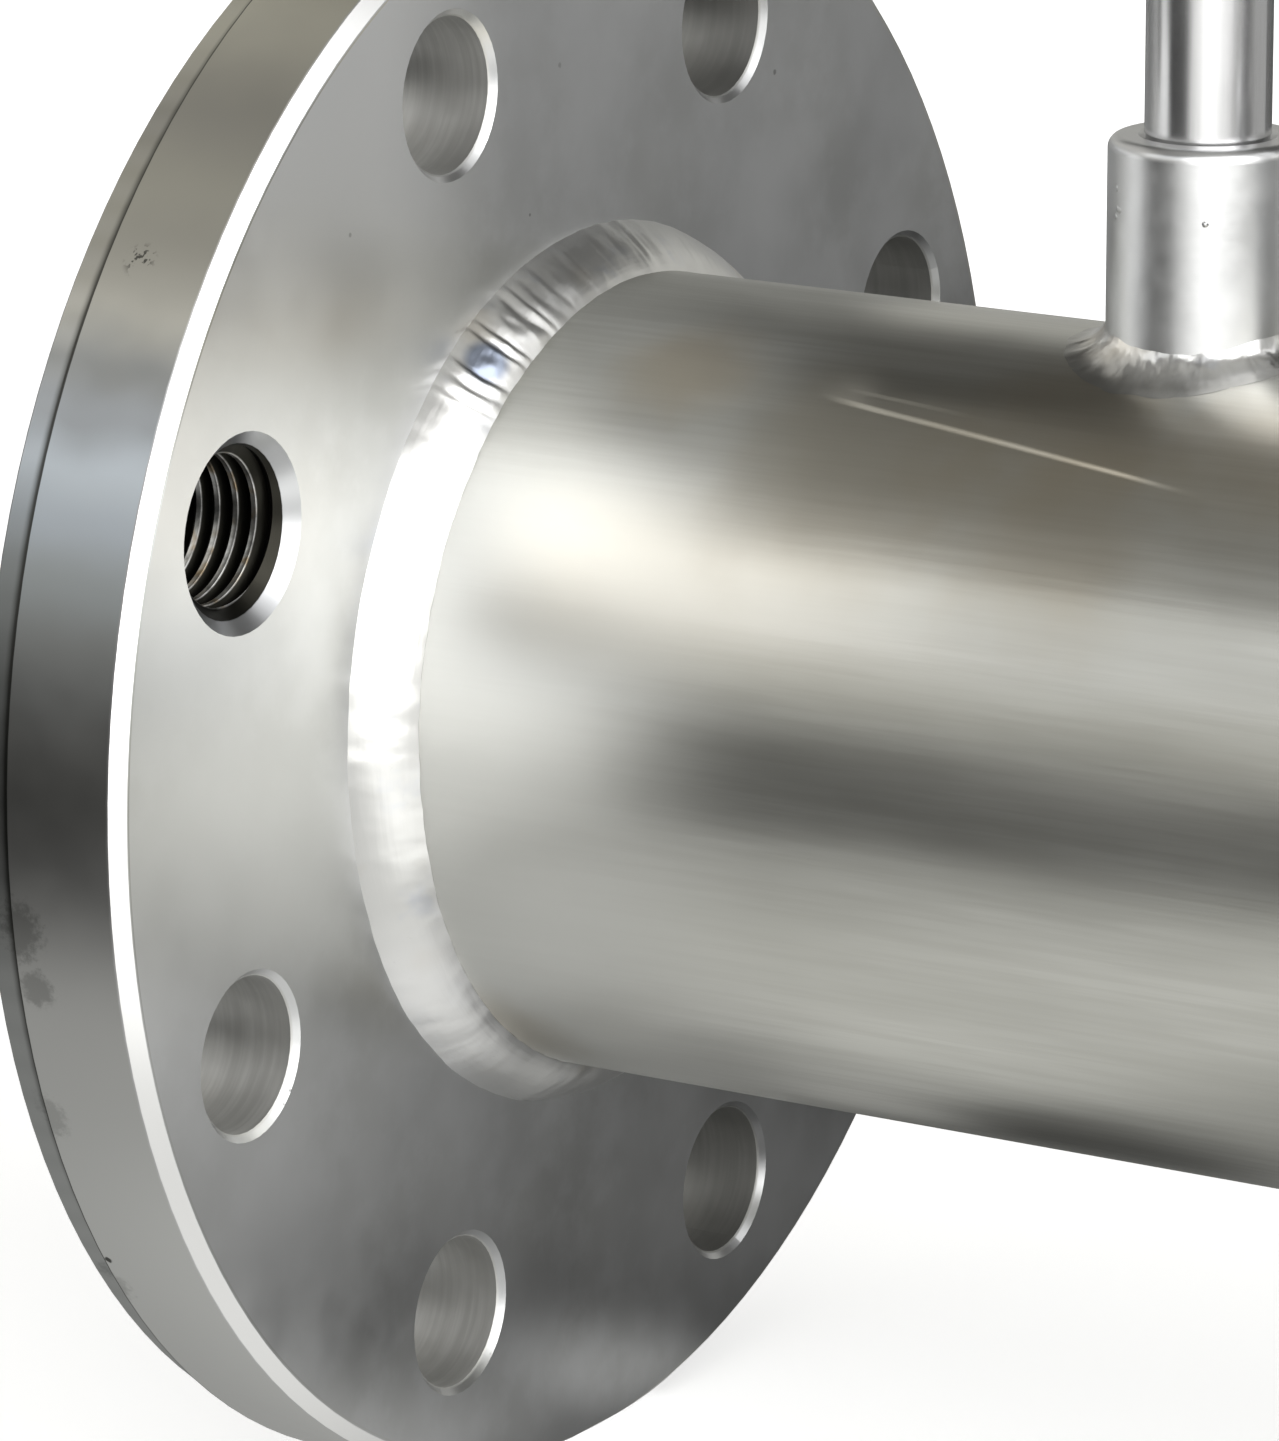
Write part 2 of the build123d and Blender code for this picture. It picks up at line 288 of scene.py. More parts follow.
def rim_reflection_bands(graph, place):
    """Painted reflections as soft bands across the rim: straw above, blue at mid height and dull between.
    """
    bands = (
        (-30, (0.56, 0.565, 0.555)),
        (-3, (0.54, 0.54, 0.53)),
        (4, (0.38, 0.38, 0.37)),
        (11, (0.37, 0.38, 0.38)),
        (16, (0.43, 0.46, 0.48)),
        (20, (0.51, 0.555, 0.61)),
        (24, (0.54, 0.585, 0.63)),
        (27.5, (0.32, 0.335, 0.35)),
        (31, (0.25, 0.255, 0.25)),
        (35, (0.42, 0.41, 0.37)),
        (39, (0.41, 0.40, 0.36)),
        (44, (0.46, 0.45, 0.40)),
        (50, (0.41, 0.40, 0.365)),
        (61, (0.78, 0.76, 0.66)),
        (80, (0.60, 0.59, 0.55)),
    )
    lowest = bands[0][0]
    span = bands[-1][0] - lowest
    stops = [((degrees - lowest) / span, color) for degrees, color in bands]
    height = calc(graph, "ARCTAN2", place.z, calc(graph, "MULTIPLY", place.y, -1.0))
    waver = cloud(graph, place.point, 60.0, 2.0, 0.5)
    sway = 0.08
    turn = calc(graph, "MULTIPLY_ADD", waver, sway, calc(graph, "ADD", height, -sway / 2))
    return color_ramp(graph, calc(graph, "MULTIPLY_ADD", turn, 180 / pi / span, -lowest / span), stops)


def face_tone_and_light(graph, place):
    """Cloudy plate, with painted highlights at its upper left and lower left and painted shade by the
    thread.
    """
    y = place.y
    z = place.z
    clouds = cloud(graph, place.point, 26.0, 3.0, 0.55)
    fine_clouds = cloud(graph, place.point, 130.0, 4.0, 0.6)
    tone = blend_color(graph, ease(graph, clouds, 0.3, 0.7), (0.475, 0.48, 0.48), (0.59, 0.597, 0.61))
    tone = patch(graph, tone, (0.61, 0.617, 0.63), (fine_clouds, 0.4, 0.7, 0.0, 0.5))
    # Painted highlight at the face's upper left.
    upper_left_highlight = (z, 0.040, 0.064), (y, -0.055, -0.018, 0.95, 0.0), (y, -0.102, -0.078, 0.3, 1.0)
    tone = patch(graph, tone, (0.88, 0.885, 0.89), *upper_left_highlight)
    # Painted shade by the thread.
    shade_by_thread = (y, -0.094, -0.066, 0.85, 0.0), (z, 0.042, 0.066, 1.0, 0.0), (z, 0.004, 0.028)
    tone = patch(graph, tone, (0.46, 0.47, 0.49), *shade_by_thread)
    # Painted highlight at the face's lower left.
    lower_left_highlight = (y, -0.085, -0.030, 0.8, 0.0), (z, -0.004, 0.022, 1.0, 0.0), (z, -0.036, -0.016, 0.4, 1.0)
    return patch(graph, tone, (0.82, 0.825, 0.83), *lower_left_highlight)


def rim_painted_light(graph, place, tone):
    """Painted highlight on the chamfer, painted reflections as bands across the rim, and painted shade in
    the relief with darker painted shade in its corner.
    """
    edge = calc(graph, "ADD", place.x, place.radius)
    chamfer_edge = flange_face_x + flange_radius - rim_chamfer
    # Painted highlight on the chamfer.
    tone = patch(graph, tone, (0.90, 0.90, 0.90), (edge, chamfer_edge - 0.00015, chamfer_edge - 0.00005))
    relief_radius = flange_radius - rim_relief_depth
    on_rim = (place.radius, relief_radius - 0.0002, relief_radius)
    plain_side = (edge, chamfer_edge - 0.0004, chamfer_edge - 0.0002, 1.0, 0.0)
    # Painted reflections as bands across the rim.
    tone = patch(graph, tone, rim_reflection_bands(graph, place), on_rim, plain_side)
    # Painted shade in the relief, fading out towards the top, and darker painted shade in its corner.
    relief = (place.x, rim_relief_end_x + 0.0001, rim_relief_end_x + 0.0002, 1.0, 0.0)
    front = (place.z, 0.030, 0.055, 0.7, 0.0)
    tone = patch(graph, tone, (0.24, 0.25, 0.25), relief, on_rim, front)
    corner_shade = (place.x, rim_relief_end_x - 0.0029, rim_relief_end_x - 0.0015, 0.0, 0.92)
    return patch(graph, tone, (0.05, 0.05, 0.045), relief, on_rim, corner_shade)


def flange_marks(graph, place, tone):
    """One scuff on the rim, and stains and nicks on the rim and the face."""
    smear = cloud(graph, place.point, 800.0, 2.0, 0.7)
    off_scuff = distance_to(graph, place, on_cylinder(0.0130, 141.6, flange_radius))
    scuff = (off_scuff, 0.0010, 0.0030, 0.85, 0.0), (smear, 0.53, 0.60)
    tone = patch(graph, tone, (0.05, 0.05, 0.045), *scuff)
    on_the_rim = (
        (0.0084, 214.0, 0.0008, 0.95),
        (0.0080, 187.0, 0.0065, 0.40),
        (0.0105, 191.0, 0.0040, 0.35),
        (0.0075, 201.0, 0.0050, 0.25),
        (0.0060, 217.0, 0.0050, 0.30),
    )
    on_the_face = (
        (-0.0163, 0.0679, 0.0004, 0.5),
        (0.0504, 0.0782, 0.0006, 0.5),
        (-0.0083, 0.0879, 0.0006, 0.3),
        (-0.0614, 0.0725, 0.0005, 0.35),
        (-0.0785, -0.0436, 0.0005, 0.7),
        (-0.0800, -0.0452, 0.0004, 0.6),
        (-0.0270, -0.0945, 0.0005, 0.7),
        (-0.0262, -0.0925, 0.0004, 0.6),
        (-0.0284, -0.0962, 0.0004, 0.6),
    )
    marks = []
    for x, degrees, size, darkness in on_the_rim:
        marks.append((on_cylinder(x, degrees, flange_radius), size, darkness))
    for y, z, size, darkness in on_the_face:
        marks.append((Vector((flange_face_x, y, z)), size, darkness))
    return add_marks(graph, place, tone, marks)


def drilled_tone_and_shade(graph, place):
    """Dull drilled walls with fine rings, and painted shade towards the back."""
    rings = cloud(graph, stretched(graph, place, (1.0, 0.05, 0.05)), 900.0, 3.0, 0.6)
    clouds = cloud(graph, place.point, 110.0, 2.0, 0.5)
    tone = blend_color(graph, ease(graph, rings, 0.3, 0.75), (0.58, 0.58, 0.57), (0.72, 0.72, 0.71))
    tone = patch(graph, tone, (0.48, 0.48, 0.47), (clouds, 0.35, 0.7, 0.0, 0.6))
    # Painted shade, darker towards the back.
    return patch(graph, tone, (0.20, 0.20, 0.19), (place.y, -0.03, 0.05, 0.0, 0.45))


def flange_steel():
    """Turned and lightly polished plate, with stains on its rim, dull drilled holes, and painted light and
    shade on its face, rim and holes.
    """
    material, graph, shader = new_steel("flange_steel", (0.55, 0.555, 0.54), 0.24)
    place = Place(graph)
    tone = rim_painted_light(graph, place, face_tone_and_light(graph, place))
    tone = flange_marks(graph, place, tone)
    holes = bolt_hole_mask(graph, place)
    tone = blend_color(graph, holes, tone, drilled_tone_and_shade(graph, place))
    # Painted shade, near black, on the tapped hole's wall behind the thread.
    tone = blend_color(graph, tapped_hole_mask(graph, place), tone, (0.02, 0.02, 0.018))
    graph.links.new(tone, shader.inputs["Base Color"])
    smudges = cloud(graph, place.point, 45.0, 3.0, 0.6)
    rough = ease(graph, smudges, 0.3, 0.75, 0.28, 0.36)
    rougher_in_holes = 0.16
    rough = calc(graph, "MULTIPLY_ADD", holes, rougher_in_holes, rough)
    graph.links.new(rough, shader.inputs["Roughness"])
    waves = cloud(graph, place.point, 30.0, 0.0, 0.5)
    graph.links.new(bumps(graph, waves, 0.0005, 0.30), shader.inputs["Normal"])
    return material


def fine_step(graph, place, start, end, width):
    """Height, from 0 to 1, of a fine step that runs along the pipe from one (x, angle) to another."""
    tail = 9 * width
    fade_in = 0.010
    fade_out = 0.020
    slope = (end[1] - start[1]) / (end[0] - start[0])
    line = calc(graph, "MULTIPLY_ADD", place.x, slope, start[1] - slope * start[0])
    off = calc(graph, "MULTIPLY", calc(graph, "SUBTRACT", place.angle, line), pipe_radius)
    height = ease(graph, off, -width / 2, width / 2, 1.0, 0.0)
    height = calc(graph, "SUBTRACT", height, ease(graph, off, -tail, -width, 1.0, 0.0))
    starts = ease(graph, place.x, start[0], start[0] + fade_in)
    ends = ease(graph, place.x, end[0] - fade_out, end[0], 1.0, 0.0)
    return product(graph, height, starts, ends)


def heat_tint(graph, place, tone):
    """Brown heat tint with ragged edges, by the welds and along the pipe's front."""
    ragged = cloud(graph, place.point, 55.0, 3.0, 0.5)
    for x, degrees, size, amount in (
        (0.058, 116.5, 0.014, 0.65),
        (0.090, 130.0, 0.024, 0.35),
        (0.116, 117.0, 0.022, 0.55),
        (0.150, 120.0, 0.020, 0.50),
        (0.125, 139.0, 0.022, 0.45),
        (0.032, 232.0, 0.014, 0.45),
    ):
        away = distance_to(graph, place, on_cylinder(x, degrees, pipe_radius))
        reach = calc(graph, "ADD", away, calc(graph, "MULTIPLY", ragged, size))
        tone = patch(graph, tone, (0.44, 0.385, 0.29), (reach, size * 0.7, size * 1.6, amount, 0.0))
    return tone


def pipe_steel():
    """Satin pipe polished along its length, with heat tint by the welds, one long bright line, a painted
    reflection of the flange by it and a painted highlight on its front.
    """
    material, graph, shader = new_steel("pipe_steel", (0.57, 0.57, 0.53), 0.26)
    place = Place(graph)
    streaks = cloud(graph, stretched(graph, place, (0.03, 1.0, 1.0)), 900.0, 3.0, 0.6)
    bands = cloud(graph, stretched(graph, place, (0.16, 1.0, 1.0)), 90.0, 3.0, 0.55)
    tone = blend_color(graph, ease(graph, bands, 0.3, 0.7), (0.52, 0.52, 0.485), (0.61, 0.61, 0.575))
    tone = patch(graph, tone, (0.47, 0.465, 0.43), (streaks, 0.35, 0.70, 0.0, 0.40))
    # Painted reflection of the bright flange face, on the pipe by the flange, below its top.
    by_the_flange = (place.x, 0.048, 0.092, 1.0, 0.0)
    lower_side = (place.z, 0.034, 0.048, 0.8, 0.0)
    tone = patch(graph, tone, (0.74, 0.74, 0.71), by_the_flange, lower_side)
    # Painted highlight, cream, along the pipe's front near the flange.
    aside = calc(graph, "ABSOLUTE", calc(graph, "SUBTRACT", place.angle, radians(151)))
    cream_highlight = (aside, 0.04, 0.30, 0.8, 0.0), (place.x, 0.034, 0.056), (place.x, 0.072, 0.130, 1.0, 0.0)
    tone = patch(graph, tone, (0.86, 0.83, 0.75), *cream_highlight)
    graph.links.new(heat_tint(graph, place, tone), shader.inputs["Base Color"])
    dull = ease(graph, place.x, 0.046, 0.090, 0.14, 0.0)
    rough = calc(graph, "ADD", dull, ease(graph, bands, 0.3, 0.75, 0.278, 0.300))
    graph.links.new(rough, shader.inputs["Roughness"])
    dents = cloud(graph, place.point, 26.0, 2.0, 0.5)
    normal = bumps(graph, dents, 0.0009, 0.30)
    normal = bumps(graph, bands, 0.0001, 0.30, normal)
    normal = bumps(graph, streaks, 0.00003, 0.40, normal)
    line = fine_step(graph, place, (0.079, radians(118.6)), (0.148, radians(128.9)), 0.0014)
    faint = fine_step(graph, place, (0.082, radians(116.6)), (0.108, radians(119.6)), 0.0010)
    normal = bumps(graph, line, 0.00036, 1.0, normal)
    normal = bumps(graph, faint, 0.00012, 1.0, normal)
    graph.links.new(normal, shader.inputs["Normal"])
    return material


def off_tap(graph, place):
    """Distance from the nearer tap's axis."""
    middle = (first_tap_x + second_tap_x) / 2
    aside = calc(graph, "ABSOLUTE", calc(graph, "SUBTRACT", place.x, middle))
    aside = calc(graph, "SUBTRACT", aside, (second_tap_x - first_tap_x) / 2)
    return length_of(graph, aside, place.y)


def weld_metal(name, roughness, grime_share, toe_share):
    """Bright brushed bead, with straw and blue heat colours, grime, and a duller toe by the taps."""
    material, graph, shader = new_steel(name, (0.62, 0.615, 0.60), roughness)
    place = Place(graph)
    patches = cloud(graph, place.point, 120.0, 3.0, 0.6)
    tone = patch(graph, (0.74, 0.74, 0.73), (0.58, 0.61, 0.69), (patches, 0.55, 0.75, 0.0, 0.5))
    straw = cloud(graph, place.point, 75.0, 2.0, 0.5)
    tone = patch(graph, tone, (0.56, 0.50, 0.40), (straw, 0.58, 0.75, 0.0, 0.5))
    blue_spot = distance_to(graph, place, on_cylinder(0.0305, 124.2, 0.0615))
    tone = patch(graph, tone, (0.24, 0.28, 0.37), (blue_spot, 0.0022, 0.0042, 0.9, 0.0))
    ground_spot = distance_to(graph, place, on_cylinder(0.030, 222.0, 0.061))
    tone = patch(graph, tone, (0.93, 0.93, 0.93), (ground_spot, 0.008, 0.024, 0.8, 0.0))
    grime = cloud(graph, place.point, 520.0, 4.0, 0.7)
    tone = patch(graph, tone, (0.30, 0.30, 0.29), (grime, 0.64, 0.84, 0.0, grime_share))
    toe = (off_tap(graph, place), boss_radius + 0.0005, boss_radius + 0.0050, 0.0, toe_share)
    tone = patch(graph, tone, (0.37, 0.365, 0.345), toe)
    graph.links.new(tone, shader.inputs["Base Color"])
    brushed = cloud(graph, turned(graph, place), 1300.0)
    graph.links.new(bumps(graph, brushed, 0.00005, 0.5), shader.inputs["Normal"])
    return material


def boss_steel():
    """Turned boss, satin, with small bright nicks."""
    material, graph, shader = new_steel("boss_steel", (0.64, 0.64, 0.64), 0.34)
    place = Place(graph)
    rings = cloud(graph, stretched(graph, place, (0.03, 0.03, 1.0)), 3200.0, 2.0, 0.6)
    patches = cloud(graph, place.point, 140.0, 3.0, 0.6)
    tone = blend_color(graph, patches, (0.60, 0.605, 0.61), (0.70, 0.705, 0.715))
    graph.links.new(tone, shader.inputs["Base Color"])
    graph.links.new(ease(graph, patches, 0.3, 0.75, 0.30, 0.38), shader.inputs["Roughness"])
    normal = bumps(graph, cloud(graph, place.point, 160.0, 2.0, 0.5), 0.0003, 0.25)
    normal = bumps(graph, rings, 0.00002, 0.30, normal)
    for degrees, height in ((-36, 0.0795), (-35, 0.0768), (-32, 0.0767), (-37, 0.0756), (27, 0.0762)):
        side = radians(degrees)
        spot = Vector((first_tap_x + boss_radius * sin(side), -boss_radius * cos(side), height))
        nick = ease(graph, distance_to(graph, place, spot), 0.0001, 0.0005, 1.0, 0.0)
        normal = bumps(graph, nick, 0.00022, 1.0, normal)
    graph.links.new(normal, shader.inputs["Normal"])
    return material


def tube_steel():
    """Drawn tube, polished."""
    material, graph, shader = new_steel("tube_steel", (0.62, 0.62, 0.63), 0.16)
    place = Place(graph)
    lines = cloud(graph, stretched(graph, place, (1.0, 1.0, 0.04)), 1800.0, 2.0, 0.5)
    patches = cloud(graph, place.point, 90.0, 3.0, 0.5)
    tone = blend_color(graph, lines, (0.58, 0.58, 0.59), (0.64, 0.64, 0.65))
    graph.links.new(tone, shader.inputs["Base Color"])
    graph.links.new(ease(graph, patches, 0.3, 0.75, 0.22, 0.265), shader.inputs["Roughness"])
    graph.links.new(bumps(graph, lines, 0.00002, 0.25), shader.inputs["Normal"])
    return material


def cone_steel():
    """Fine turned cone, stem and strut."""
    material, graph, shader = new_steel("cone_steel", (0.56, 0.56, 0.55), 0.28)
    place = Place(graph)
    rings = cloud(graph, turned(graph, place), 2200.0, 2.0, 0.6)
    patches = cloud(graph, place.point, 70.0, 3.0, 0.55)
    tone = blend_color(graph, patches, (0.50, 0.50, 0.49), (0.60, 0.60, 0.59))
    graph.links.new(tone, shader.inputs["Base Color"])
    graph.links.new(ease(graph, patches, 0.3, 0.75, 0.28, 0.38), shader.inputs["Roughness"])
    graph.links.new(bumps(graph, rings, 0.00003, 0.4), shader.inputs["Normal"])
    return material


def thread_steel():
    """Thread with painted shade, near black, in the roots, and a painted highlight, bright and slightly
    brown, on the crests.
    """
    material, graph, shader = new_steel("thread_steel", (0.5, 0.5, 0.5), 0.3)
    place = Place(graph)
    reach = off_tapped_hole(graph, place)
    crest = ease(graph, reach, thread_minor_radius, thread_minor_radius + 0.00025, 1.0, 0.0)
    oil = cloud(graph, place.point, 420.0, 3.0, 0.6)
    crest_highlight = calc(graph, "MULTIPLY", crest, ease(graph, oil, 0.25, 0.6, 0.35, 1.0))
    brown = cloud(graph, place.point, 300.0, 2.0, 0.5)
    bright = blend_color(graph, ease(graph, brown, 0.5, 0.7), (0.62, 0.62, 0.61), (0.42, 0.33, 0.22))
    # Painted shade in the roots and a painted highlight on the crests.
    graph.links.new(blend_color(graph, crest_highlight, (0.025, 0.024, 0.02), bright), shader.inputs["Base Color"])
    graph.links.new(bumps(graph, oil, 0.0001, 0.3), shader.inputs["Normal"])
    return material


# Weld beads and thread turns


def new_piece(name, points, faces, material, smooth_angle=50.0):
    """Mesh object with smooth faces and sharp edges kept."""
    mesh = bpy.data.meshes.new(name)
    mesh.from_pydata(points, [], faces)
    work = bmesh.new()
    work.from_mesh(mesh)
    bmesh.ops.recalc_face_normals(work, faces=work.faces)
    work.to_mesh(mesh)
    work.free()
    mesh.shade_smooth()
    mesh.set_sharp_from_angle(angle=radians(smooth_angle))
    mesh.materials.append(material)
    piece = bpy.data.objects.new(name, mesh)
    bpy.context.scene.collection.objects.link(piece)
    return piece


def tube_faces(rows, profile, closed=True):
    """Faces between rows of closed profiles: a ring, or a tube with flat ends where not closed."""
    faces = []
    for i in range(rows if closed else rows - 1):
        here = i * profile
        following = ((i + 1) % rows) * profile
        for j in range(profile):
            turn = (j + 1) % profile
            faces.append((here + j, here + turn, following + turn, following + j))
    if not closed:
        faces.append(tuple(range(profile)))
        faces.append(tuple(range((rows - 1) * profile, rows * profile)))
    return faces


def scallop(turns, share, lag):
    """Height, from 0 to 1, of the crescent ripples that a welder leaves."""
    rise_share = 0.35
    step = (turns - lag) % 1.0
    rise = min(1.0, step / rise_share)
    return (1 - step) ** 0.8 * rise * rise * (3 - 2 * rise) * share


class Bead:
    """How a bead looks: crown, ripple height and pitch, how far its edges wander, and its lumps."""

    def __init__(self, crown, ripple, pitch, wander, lump):
        self.crown = crown
        self.ripple = ripple
        self.pitch = pitch
        self.wander = wander
        self.lump = lump


def bead_surface(first, second, root, look, angle, turns, seed, strength):
    """Points across a bead from one toe to the other, with its crown, ripples and lumps."""
    steps = 14
    crescent = 0.45
    drift_detail = 11
    lump_detail = 300
    pit_detail = 900
    plain_lumps = 0.25
    middle = (first + second) / 2
    away = (middle - root).normalized()
    drift = 1.1 * noise.noise(Vector((cos(angle) * drift_detail, sin(angle) * drift_detail, seed)))
    row = []
    for j in range(steps + 1):
        share = j / steps
        bow = 4 * share * (1 - share)
        spot = first.lerp(second, share)
        lag = crescent * (2 * share - 1) ** 2
        height = look.crown * bow
        height += look.ripple * strength * scallop(turns + drift, bow**0.5, -lag)
        lumps = noise.noise(spot * lump_detail + Vector((seed, 0, 0)))
        lumps += 0.5 * noise.noise(spot * pit_detail)
        height += look.lump * (plain_lumps + (1 - plain_lumps) * strength) * lumps * bow**0.5
        row.append(spot + away * height)
    return row


def wandering(spot, seed):
    """Slow noise along a bead's edge, with small teeth."""
    slow_detail = 70
    tooth_detail = 330
    slow = noise.noise(spot * slow_detail + Vector((0, seed, 0)))
    return slow + 0.5 * noise.noise(spot * tooth_detail + Vector((0, 0, seed)))


def ring_bead(name, toes, root, look, material, seed, strength=None, mirrored=False):
    """Bead round the pipe's axis. The toes and root are (x, radius)."""
    around = 1080
    mean_radius = (toes[0][1] + toes[1][1]) / 2
    count = round(2 * pi * mean_radius / look.pitch)
    points = []
    for i in range(around):
        angle = 2 * pi * i / around
        out = Vector((0, cos(angle), sin(angle)))
        first = Vector((toes[0][0], 0, 0)) + out * toes[0][1]
        second = Vector((toes[1][0], 0, 0)) + out * toes[1][1]
        base = Vector((root[0], 0, 0)) + out * root[1]
        first += (first - base).normalized() * look.wander * wandering(first, seed)
        second += (second - base).normalized() * look.wander * wandering(second, seed + 5)
        power = strength(angle) if strength else 1.0
        row = bead_surface(first, second, base, look, angle, count * i / around, seed, power)
        points += [*row, base]
    if mirrored:
        points = [Vector((meter_length - p.x, -p.y, p.z)) for p in points]
    return new_piece(name, points, tube_faces(around, len(row) + 1), material)


def saddle_bead(name, x, run, upright, legs, look, material, seed, inside=False):
    """Bead round the foot of an upright where it meets a run, outside it or inside it."""
    around = 420
    side = -1 if inside else 1
    count = round(2 * pi * upright / look.pitch)

    def on_run(angle, reach):
        across = reach * sin(angle)
        return Vector((x + reach * cos(angle), across, sqrt(run**2 - across**2)))

    points = []
    for i in range(around):
        angle = 2 * pi * i / around
        base = on_run(angle, upright)
        edge = wandering(base, seed) * look.wander
        first = base + Vector((0, 0, side * (legs[0] + edge)))
        # The toe reaches further out where the run falls away
        leg = legs[1] * (0.72 + 0.36 * sin(angle) ** 2)
        second = on_run(angle, upright + leg + wandering(base, seed + 5) * look.wander)
        row = bead_surface(first, second, base, look, angle, count * i / around, seed, 1.0)
        points += [*row, base]
    return new_piece(name, points, tube_faces(around, len(row) + 1), material)


def fillet_strength(angle):
    """Ripples at the bead's upper left only. Elsewhere it is nearly smooth."""
    above = 0.15
    below = 0.03
    rise_start = 110
    rise_end = 116
    fall_start = 128
    fall_end = 133
    degrees = (angle * 180 / pi) % 360
    if degrees < rise_start:
        return above
    if degrees < rise_end:
        return above + (1 - above) * (degrees - rise_start) / (rise_end - rise_start)
    if degrees < fall_start:
        return 1.0
    if degrees < fall_end:
        return 1.0 - (1 - below) * (degrees - fall_start) / (fall_end - fall_start)
    return below


def make_welds(material, smooth_material):
    """Rippled beads in place of the plain ones."""
    fillet = Bead(crown=0.0008, ripple=0.00052, pitch=0.0034, wander=0.0003, lump=0.00020)
    small = Bead(crown=0.0003, ripple=0.00028, pitch=0.0022, wander=0.0003, lump=0.00015)
    tiny = Bead(crown=0.0001, ripple=0.00012, pitch=0.0014, wander=0.0001, lump=0.00006)
    fillet_toes = ((flange_face_x, fillet_toe_radius), (fillet_toe_x, pipe_radius))
    fillet_root = (flange_face_x, pipe_radius)
    bore_weld_radius = bore_weld_high.y
    bore_toes = ((bore_weld_low.x, bore_weld_radius), (bore_weld_high.x, bore_weld_radius - bore_weld_leg))
    bore_root = (bore_weld_high.x, bore_weld_radius)
    nose_toes = ((nose_weld_high.x, nose_weld_high.y), (nose_weld_low.x, stem_radius))
    tail_toes = ((tail_weld_low.x, tail_weld_high.y), (tail_weld_high.x, stem_radius))
    for node, toes, root, look, seed, strength, mirrored in (
        ("inlet_fillet_weld", fillet_toes, fillet_root, fillet, 3, fillet_strength, False),
        ("outlet_fillet_weld", fillet_toes, fillet_root, fillet, 8, None, True),
        ("inlet_bore_weld", bore_toes, bore_root, small, 12, None, False),
        ("outlet_bore_weld", bore_toes, bore_root, small, 17, None, True),
        ("cone_nose_weld", nose_toes, (nose_weld_high.x, stem_radius), tiny, 21, None, False),
        ("cone_tail_weld", tail_toes, (tail_weld_low.x, stem_radius), tiny, 26, None, False),
    ):
        bead = ring_bead(node + "_bead", toes, root, look, material, seed, strength, mirrored)
        settle(bead, node)
    saddle = Bead(crown=-0.0011, ripple=0.00006, pitch=0.0031, wander=0.0012, lump=0.00022)
    tap_legs = (saddle_leg_up, saddle_leg_out)
    strut_legs = (strut_weld_leg, strut_weld_leg)
    for node, x, run, upright, legs, look, finish, seed, inside in (
        ("high_pressure_saddle_weld", first_tap_x, pipe_radius, boss_radius,
         tap_legs, saddle, smooth_material, 31, False),
        ("low_pressure_saddle_weld", second_tap_x, pipe_radius, boss_radius,
         tap_legs, saddle, smooth_material, 37, False),
        ("strut_wall_weld", second_tap_x, bore_radius, strut_radius,
         strut_legs, small, material, 41, True),
    ):
        bead = saddle_bead(node + "_bead", x, run, upright, legs, look, finish, seed, inside)
        settle(bead, node)


def settle(piece, replaced=None):
    """Rides the piece on the part's body, and hides the node that it replaces."""
    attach(piece, "root")
    if replaced:
        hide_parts(replaced)


def thread_turns(material):
    """Right-hand turns of the tapped hole, cut back by the countersink at each end."""
    steps_per_turn = 72
    half_base = 0.00131
    half_crest = 0.00037
    crest_round = 0.00003
    sunk = 0.00005
    root_radius = thread_major_radius + sunk
    profile = (
        (-half_base, root_radius),
        (-half_crest, thread_minor_radius),
        (0, thread_minor_radius - crest_round),
        (half_crest, thread_minor_radius),
        (half_base, root_radius),
    )
    length = thread_end_x - thread_start_x
    first_x = thread_start_x - half_base
    total = round((length + 2 * half_base) / thread_pitch * steps_per_turn)
    centre = Vector((0, tapped_hole_y, tapped_hole_z))
    points = []
    for i in range(total + 1):
        angle = 2 * pi * i / steps_per_turn
        x = first_x + thread_pitch * i / steps_per_turn
        for offset, radius in profile:
            place_x = min(max(x + offset, thread_start_x), thread_end_x)
            depth = min(place_x - thread_start_x, thread_end_x - place_x)
            reach = max(radius, root_radius - depth)
            out = Vector((0, cos(angle), sin(angle))) * reach
            points.append(centre + out + Vector((place_x, 0, 0)))
    faces = tube_faces(total + 1, len(profile), closed=False)
    piece = new_piece("tapped_hole_thread", points, faces, material, 35.0)
    settle(piece)


# Floor, light and camera


def level_square(half, height):
    """Corners of a level square round the origin."""
    return [(-half, -half, height), (half, -half, height), (half, half, height), (-half, half, height)]


def pale_floor():
    """Large pale floor with a glow that only camera, mirror and glass rays see, full further out."""
    material = bpy.data.materials.new("pale_floor")
    material.use_nodes = True
    graph = material.node_tree
    shader = graph.nodes["Principled BSDF"]
    shader.inputs["Base Color"].default_value = (0.75, 0.75, 0.75, 1.0)
    shader.inputs["Roughness"].default_value = 0.9
    shader.inputs["Specular IOR Level"].default_value = 0.0
    rays = graph.nodes.new("ShaderNodeLightPath")
    seen = calc(graph, "MAXIMUM", rays.outputs["Is Camera Ray"], rays.outputs["Is Glossy Ray"])
    seen = calc(graph, "MAXIMUM", seen, rays.outputs["Is Transmission Ray"])
    glow = graph.nodes.new("ShaderNodeEmission")
    glow.inputs["Color"].default_value = (1.0, 1.0, 1.0, 1.0)
    below_middle = (meter_length / 2, 0, floor_z)
    glow_by_meter = 0.62
    outward = ease(graph, distance_to(graph, Place(graph), below_middle), 0.45, 1.2, glow_by_meter, 1.0)
    graph.links.new(calc(graph, "MULTIPLY", seen, outward), glow.inputs["Strength"])
    both = graph.nodes.new("ShaderNodeAddShader")
    graph.links.new(shader.outputs[0], both.inputs[0])
    graph.links.new(glow.outputs[0], both.inputs[1])
    graph.links.new(both.outputs[0], graph.nodes["Material Output"].inputs["Surface"])
    half = 20.0
    floor = new_piece("floor", level_square(half, floor_z), [(0, 1, 2, 3)], material)


